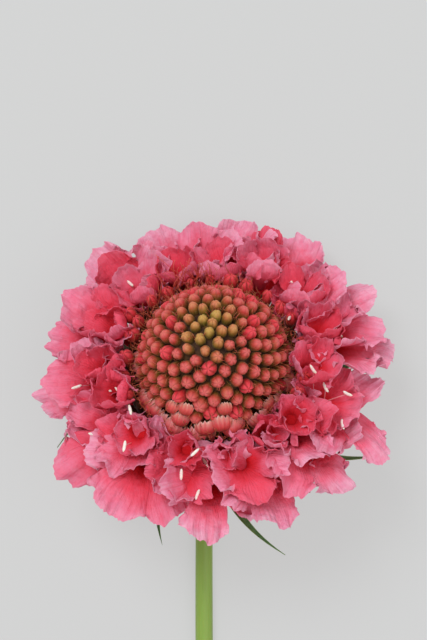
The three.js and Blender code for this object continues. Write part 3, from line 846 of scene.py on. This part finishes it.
def shell_lobe(build, floret, turn, half, reach, layer):
    """One lobe of a half-open floret: a ribbed scallop shell with a toothed edge, curved over the mouth."""
    item = floret.index * LOBES + round(turn / 72) % LOBES
    draw = draws(90, item)
    rows, columns = np.linspace(0, 1, SHELL.rows), np.linspace(-1, 1, SHELL.columns + 1)
    v, u = np.meshgrid(rows, columns, indexing="ij")
    ribs = np.cos(pi * SHELL.ribs * u + draw(0))
    teeth = np.abs(np.cos(pi / 2 * (SHELL.ribs * u + draw(0)))) - SHELL.notch
    edge = reach + SHELL.closing * floret.closing + SHELL.reach * draw(1) + SHELL.tooth * teeth
    edge = edge * (1 - SHELL.corner * np.abs(u) ** 3)
    polar = np.radians(lerp(SHELL.foot, edge, v))
    azimuth = np.radians(turn + SHELL.turn * draw(2) + half * u)
    wide = 1 + SHELL.skew * u + SHELL.rib * ribs * v + SHELL.flare * (1 - floret.closing) * v ** 5
    radius = floret.size * layer * wide * np.sin(polar) ** 0.9
    rise = -floret.size * HALF_OPEN.height * layer * np.cos(polar) * (1 + SHELL.rise * draw(3))
    sheet = in_floret(floret, radius * np.cos(azimuth), HALF_OPEN.wide * radius * np.sin(azimuth), rise)
    marks = marks_of(u + VEIN_SHIFT * item, v, floret.grown)
    thin_shell(build, sheet, lerp(SHELL.base, SHELL.edge, v)[..., None], marks)


def half_open_floret(build, bud):
    """A floret at the dome's foot whose five lobes close over its mouth, the outer one over the others."""
    draw = draws(80, bud.index)
    out = unit(bud.place * [1, 1, 0])
    across, along = frame_of(bud.axis)
    lean = HALF_OPEN.lean * (across * draw(0) + along * draw(1))
    normal = unit(UP - out * HALF_OPEN.inward + lean)
    outward = unit(out - normal * (out @ normal) + HALF_OPEN.turn * draw(2) * np.cross(normal, out))
    size = lerp(HALF_OPEN.small, HALF_OPEN.large, bud.grown) * (1 + HALF_OPEN.uneven * draw(3))
    place = bud.place + bud.axis * HALF_OPEN.stand * (1 + size)
    floret = Sizes(index=bud.index, grown=bud.grown, closing=1 - HALF_OPEN.closing * bud.grown, size=size,
                   place=place, normal=normal, outward=outward, sideways=np.cross(normal, outward))
    for lobe in SHELL_LOBES:
        shell_lobe(build, floret, *lobe)
    depth, girth = size * HEART.T
    tube(build, place - normal * HALF_OPEN.height * depth[:, None], girth, HALF_OPEN.sides, tip=True)


TUFT = Sizes(towards=108, width=75, length=2.6, low=0.2, high=0.8)
CALYX = Sizes(count=58, radius=14.8, foot=-3.2, height=5.4, girth=0.75, lean=0.14, sides=10, bristles=5,
              turn=0.3, uneven=0.5, taller=0.5, height_uneven=0.15)
CALYX_GIRTHS = CALYX.girth * np.array([0.5, 0.8, 1, 0.97, 0.8, 0.5, 0.2])
SKIRT = Sizes(radius=17.2, foot=-3.3, edge_foot=-3.1, edge_top=-2.8, top=-2.5, sunk=1, sides=72)
BETWEEN = Sizes(count=27, radius=16.5, height=1.4, girth=1.1, furrow=1.1, share=1.1, lean=0.3, turn=0.25,
                in_behind=1.3, up_behind=3.2, height_uneven=0.8, girth_uneven=0.2, opening=0.2, stray=148,
                aside=2.2)


def facing_back(azimuth):
    """From 0 to 1, how much a direction faces the dome's far side."""
    return max(0, cos(azimuth - radians(TUFT.towards)))


def receptacle():
    """The core that the buds stand on, and a skirt round it with calyxes, taller at the far side, dark as
    painted shade.
    """
    build = Build()
    polar = np.linspace(acos(CORE.foot / CORE.height), CORE.top, CORE.steps)
    profile = [(CORE.radius * sin(p), CORE.height * cos(p)) for p in polar]
    revolve(build, [(CORE.hub, CORE.foot), *profile], SKIRT.sides)
    inner = COLLAR.top_radius - SKIRT.sunk
    profile = [(inner, SKIRT.foot), (SKIRT.radius, SKIRT.edge_foot), (SKIRT.radius, SKIRT.edge_top),
               (inner, SKIRT.top)]
    revolve(build, profile, SKIRT.sides)
    for index in range(CALYX.count):
        draw = draws(70, index)
        azimuth = radians(360 * (index + CALYX.turn * draw(1)) / CALYX.count)
        root = around(azimuth) * (CALYX.radius + CALYX.uneven * draw(2)) + UP * CALYX.foot
        length = CALYX.height * (1 + CALYX.taller * facing_back(azimuth) + CALYX.height_uneven * draw(3))
        way = unit(around(azimuth) * CALYX.lean + UP) * length
        line = root + way * np.linspace(0, 1, len(CALYX_GIRTHS))[:, None]
        tube(build, line, CALYX_GIRTHS, CALYX.sides, tip=True)
    build.piece("receptacle", core_material(), "disc_florets", "buds")


def buds_between(build):
    """Red buds between the dome and the ray florets, but not at the opening side, and a stray one."""
    turns = [(i + BETWEEN.turn * vary(75, i)) / BETWEEN.count * 360 for i in range(BETWEEN.count)]
    for i, turn in enumerate([*turns, BETWEEN.stray]):
        azimuth = radians(turn)
        if facing_opening(azimuth) > BETWEEN.opening:
            continue
        out = around(azimuth)
        back = facing_back(azimuth)
        radius = BETWEEN.radius - BETWEEN.in_behind * back + (BETWEEN.aside if turn == BETWEEN.stray else 0)
        height = BETWEEN.height + BETWEEN.up_behind * back + BETWEEN.height_uneven * vary(76, i)
        girth = BETWEEN.girth * (1 + BETWEEN.girth_uneven * vary(77, i))
        closed_bud(build, Sizes(index=BUDS.count + i, share=BETWEEN.share, place=out * radius + UP * height,
                                axis=unit(out * BETWEEN.lean + UP), radius=girth, height=BUD.height,
                                furrow=BETWEEN.furrow))


def disc_florets():
    receptacle()
    buds = Build()
    opening = Build()
    for index in range(BUDS.count):
        bud = bud_of(index)
        if bud.opened:
            half_open_floret(opening, bud)
        elif bud.closed:
            closed_bud(buds, bud)
    buds_between(buds)
    buds.piece("buds", bud_material(), "disc_florets", "buds")
    opening.piece("half_open_florets", half_open_material(), "disc_florets", "buds")


BRISTLES = Sizes(count=1050, foot=0.08, point=0.04, short=2.1, long=3.4, stray=0.8, spiral=1.3, uneven=0.2,
                 steps=6, curl=0.45, winds=1.7, knee=0.6, knee_stray=0.3)
CALYX_BRISTLES = Sizes(foot=0.11, point=0.05, length=2.4, longer=2.2, uneven=0.3, out=0.5, height=0.8,
                       higher=3, lean=0.35, sway=0.5, tone=0.6, steps=8, winds=1.1)


def bristle(build, line, sizes, tone):
    """One fine bristle along a line, in a tone from olive to rusty."""
    t = np.linspace(0, 1, len(line))
    tube(build, line, lerp(sizes.foot, sizes.point, t), 4, marks_of(t, tone, 0))


def dome_bristle(build, index):
    """A bristle between the buds, longer and curled in the rusty tuft at the dome's far side."""
    draw = draws(20, index)
    share = (index + 0.5) / BRISTLES.count
    azimuth = radians(GOLDEN_ANGLE * (index + 0.5) * BRISTLES.spiral)
    place, axis = on_core(radians(90 * share ** 0.5), azimuth)
    across, along = frame_of(axis)
    tuft = smooth(1 - degrees_from(azimuth, TUFT.towards) / TUFT.width) * smooth(share, TUFT.low, TUFT.high)
    length = lerp(BRISTLES.short, BRISTLES.long, smooth(share, 0.3, 1)) * (1 + BRISTLES.uneven * draw(1))
    length += TUFT.length * tuft * (0.5 + 0.5 * draw(6))
    stray = BRISTLES.stray * (1 + 1.5 * tuft)
    knee = (place + axis * length * BRISTLES.knee
            + (across * draw(2) + along * draw(3)) * stray * BRISTLES.knee_stray)
    end = place + axis * length + (across * draw(4) + along * draw(5)) * stray
    t = np.linspace(0, 1, BRISTLES.steps + 1)
    curl = np.sin(2 * pi * BRISTLES.winds * t + 3 * draw(8)) * BRISTLES.curl * t * tuft
    line = curve_through(place, knee, end, BRISTLES.steps)
    line = line + across * curl[:, None] + along * np.roll(curl, 1)[:, None]
    bristle(build, line, BRISTLES, max(tuft, 0.4 + 0.5 * draw(7)))


def calyx_bristle(build, index):
    """A bristle of one of the calyxes round the dome's foot."""
    sizes = CALYX_BRISTLES
    draw = draws(120, index)
    azimuth = radians(360 * (index / CALYX.bristles + 0.5 * draw(0)) / CALYX.count)
    tuft = smooth(1 - degrees_from(azimuth, TUFT.towards) / TUFT.width)
    out = around(azimuth)
    sideways = np.cross(UP, out)
    root = out * (CALYX.radius + sizes.out * (1 + draw(1)))
    root[2] = sizes.height * (1 + draw(2)) + sizes.higher * tuft
    length = (sizes.length + TUFT.length * sizes.longer * tuft) * (1 + sizes.uneven * draw(3))
    t = np.linspace(0, 1, sizes.steps + 1)[:, None]
    curl = np.sin(2 * pi * sizes.winds * t + 3 * draw(4)) * BRISTLES.curl * t
    way = unit(UP + out * sizes.lean * draw(5) + sideways * sizes.sway * draw(6))
    line = root + length * t * way + sideways * curl + out * curl * draw(7)
    bristle(build, line, sizes, max(tuft, sizes.tone))


def bristles():
    build = Build()
    for index in range(BRISTLES.count):
        dome_bristle(build, index)
    for index in range(CALYX.count * CALYX.bristles):
        calyx_bristle(build, index)
    build.piece("bristles", bristle_material(), slot="buds")


# ---- Involucre ----

BLADE = Sizes(rows=28, columns=8, thin=0.2, keel=0.22, above=0.3, narrowest=0.03, start=0.18, round=0.8,
              floor=0.05, top_floor=0.5)


def bract(build, i):
    """One bract: a narrow leaf with a keel, a groove along its face and a drawn-out tip."""
    turn = BEND.turn * vary(SEEDS.turn, i)
    out = around(radians(BRACTS.first + i * 360 / BRACTS.count + turn))
    sideways = np.cross(UP, out)
    length = BRACTS.length * (1 + BEND.uneven * vary(SEEDS.length, i))
    t = np.linspace(0, 1, BLADE.rows + 1)[:, None]
    s = np.linspace(-1, 1, BLADE.columns + 1)
    aside = BEND.aside * (1 + BEND.aside_uneven * vary(SEEDS.aside, i))
    height = CUP.foot + BRACTS.root - BEND.droop * t * np.sin(BEND.sweep * t)
    centre = out * lerp(CUP.foot_radius, length, t) + sideways * aside * t ** BEND.hook + UP * height
    form = np.sin(pi * lerp(BLADE.start, 1, t)) ** BLADE.round
    half = BRACTS.width / 2 * np.maximum(BLADE.narrowest, form)
    across = (half * s)[..., None] * sideways + (half * BEND.hollow * s ** 2)[..., None] * UP
    sheet = centre[:, None] + across
    thick = (BLADE.thin + BLADE.keel * (1 - np.abs(s)) ** 1.5)[:, None] * UP
    top = clear_of_surface(sheet + thick * BLADE.above, BLADE.top_floor)
    bottom = clear_of_surface(sheet - thick * (1 - BLADE.above), BLADE.floor)
    shell(build, bottom, top, marks_of(s, t, 0))


def involucre():
    build = Build()
    for i in range(BRACTS.count):
        bract(build, i)
    profile = [(CUP.hub, CUP.foot), (CUP.foot_radius * 0.9, CUP.foot),
               (CUP.foot_radius + 0.5, CUP.foot + 0.35), (CUP.shoulder_radius, CUP.shoulder),
               (CUP.waist_radius, CUP.waist), (CUP.top_radius, CUP.top), (CUP.hub, CUP.top)]
    revolve(build, profile, CUP.sides, (0, 0.5, 0))
    build.piece("bracts", bract_material(), "involucre", "bracts")


# ---- Stem ----

STALK = Sizes(sides=40, neck_steps=36, shaft_steps=90, rib=0.012, ribs=8, swell=0.012, swells=0.21,
              lowest=0.02, soft=0.1)
# The rings of the cut's face: share of the section, depth, and how much it is pith.
CUT = ((0.97, 0, 0.4), (0.86, 0, 1), (0.8, 0.25, 1), (0.3, 0.25, 1))


def stem_line():
    """The stem's middle line: a neck that leaves the head along its axis, and a shaft along the surface."""
    axis = HEAD_TURN @ UP
    top = to_world(UP * STEM.top)
    height = STEM.radius * cos(pi / SHAFT.solid_sides)
    drop = (top[2] - height) / axis[2]
    knee = top - axis * drop
    landing = np.array([HEAD_CENTRE[0] + STEM.side, knee[1] - drop * STEM.reach, height])
    t = np.linspace(0, 1, STALK.shaft_steps + 1)[1:]
    shaft = landing + np.stack([SHAFT.sway * t * (t - SHAFT.early), -SHAFT.length * t, 0 * t], axis=1)
    return np.vstack([curve_through(top, knee, landing, STALK.neck_steps), shaft])


def stem():
    """The ribbed stem, with the slanted face of its cut sunk a little in the middle."""
    line = stem_line()
    way = unit(np.gradient(line, axis=0))
    across = unit(ASIDE - way * way[:, :1])
    k = np.arange(len(line))[:, None]
    a = loop_angles(STALK.sides)
    radius = lerp(STEM.top_radius, STEM.radius, smooth(k / STALK.neck_steps)) * STEM.fuller
    radius = radius * (1 + STALK.rib * np.cos(STALK.ribs * a) + STALK.swell * np.sin(STALK.swells * k + 2))
    rings = line[:, None] + radius[..., None] * radial(across, np.cross(way, across), a)
    rings[..., 2] = soft_max(rings[..., 2], STALK.lowest, STALK.soft)
    slant = tan(radians(STEM.slant))
    rings[-1] += way[-1] * ((line[-1][2] - rings[-1][:, 2]) * slant)[:, None]
    middle = rings[-1].mean(axis=0)
    face = [middle + (rings[-1] - middle) * share - way[-1] * depth for share, depth, _ in CUT]
    face_marks = [np.broadcast_to((0, 0, pith), (STALK.sides, 3)) for _, _, pith in CUT]
    build = Build()
    add_rings(build, np.concatenate([rings, face]), np.concatenate([marks_of(np.sin(a), k, 0), face_marks]))
    build.piece("peduncle", stem_material(), "stem", "stem", in_head=False)


# ---- Stage, lights and camera: here lengths are in metres, but for the camera's place ----

CAMERA = Sizes(distance=350, frame_height=117.1, right=-0.18, up=8.65, sensor=36)
FLOOR = 3


def stage():
    mesh = bpy.data.meshes.new("floor")
    corners = [(x * FLOOR, y * FLOOR, 0) for x, y in ((-1, -1), (1, -1), (1, 1), (-1, 1))]
    mesh.from_pydata(corners, [], [(0, 1, 2, 3)])
    mesh.materials.append(floor_material())
    add_object("floor", mesh)


def light(name, place, size, power, colour=(1, 1, 1)):
    """A round lamp that shines on the head."""
    data = bpy.data.lights.new(name, "AREA")
    data.shape, data.size, data.energy, data.color = "DISK", size, power, colour
    lamp = add_object(name, data)
    lamp.location = place
    lamp.rotation_euler = (Vector(HEAD_CENTRE * MM) - Vector(place)).to_track_quat("-Z", "Y").to_euler()


def studio():
    world = bpy.data.worlds.new("studio")
    world.use_nodes = True
    background = world.node_tree.nodes["Background"]
    background.inputs["Color"].default_value = (1.0, 0.98, 0.95, 1)
    background.inputs["Strength"].default_value = 0.6
    bpy.context.scene.world = world
    bpy.context.scene.view_settings.view_transform = "Standard"
    light("key", (-0.35, 0.55, 0.95), 0.5, 5.9, (0.95, 0.98, 1.0))
    light("fill", (0.5, -0.3, 1.0), 1.2, 3)


def camera():
    data = bpy.data.cameras.new("camera")
    data.sensor_fit = "VERTICAL"
    data.sensor_height = data.sensor_width = CAMERA.sensor
    data.lens = CAMERA.sensor * CAMERA.distance / CAMERA.frame_height
    data.clip_start = 0.01
    eye = add_object("camera", data)
    eye.location = Vector((HEAD_CENTRE + np.array([CAMERA.right, CAMERA.up, CAMERA.distance])) * MM)
    bpy.context.scene.camera = eye


camera()
stage()
studio()
ray_florets()
disc_florets()
bristles()
involucre()
stem()
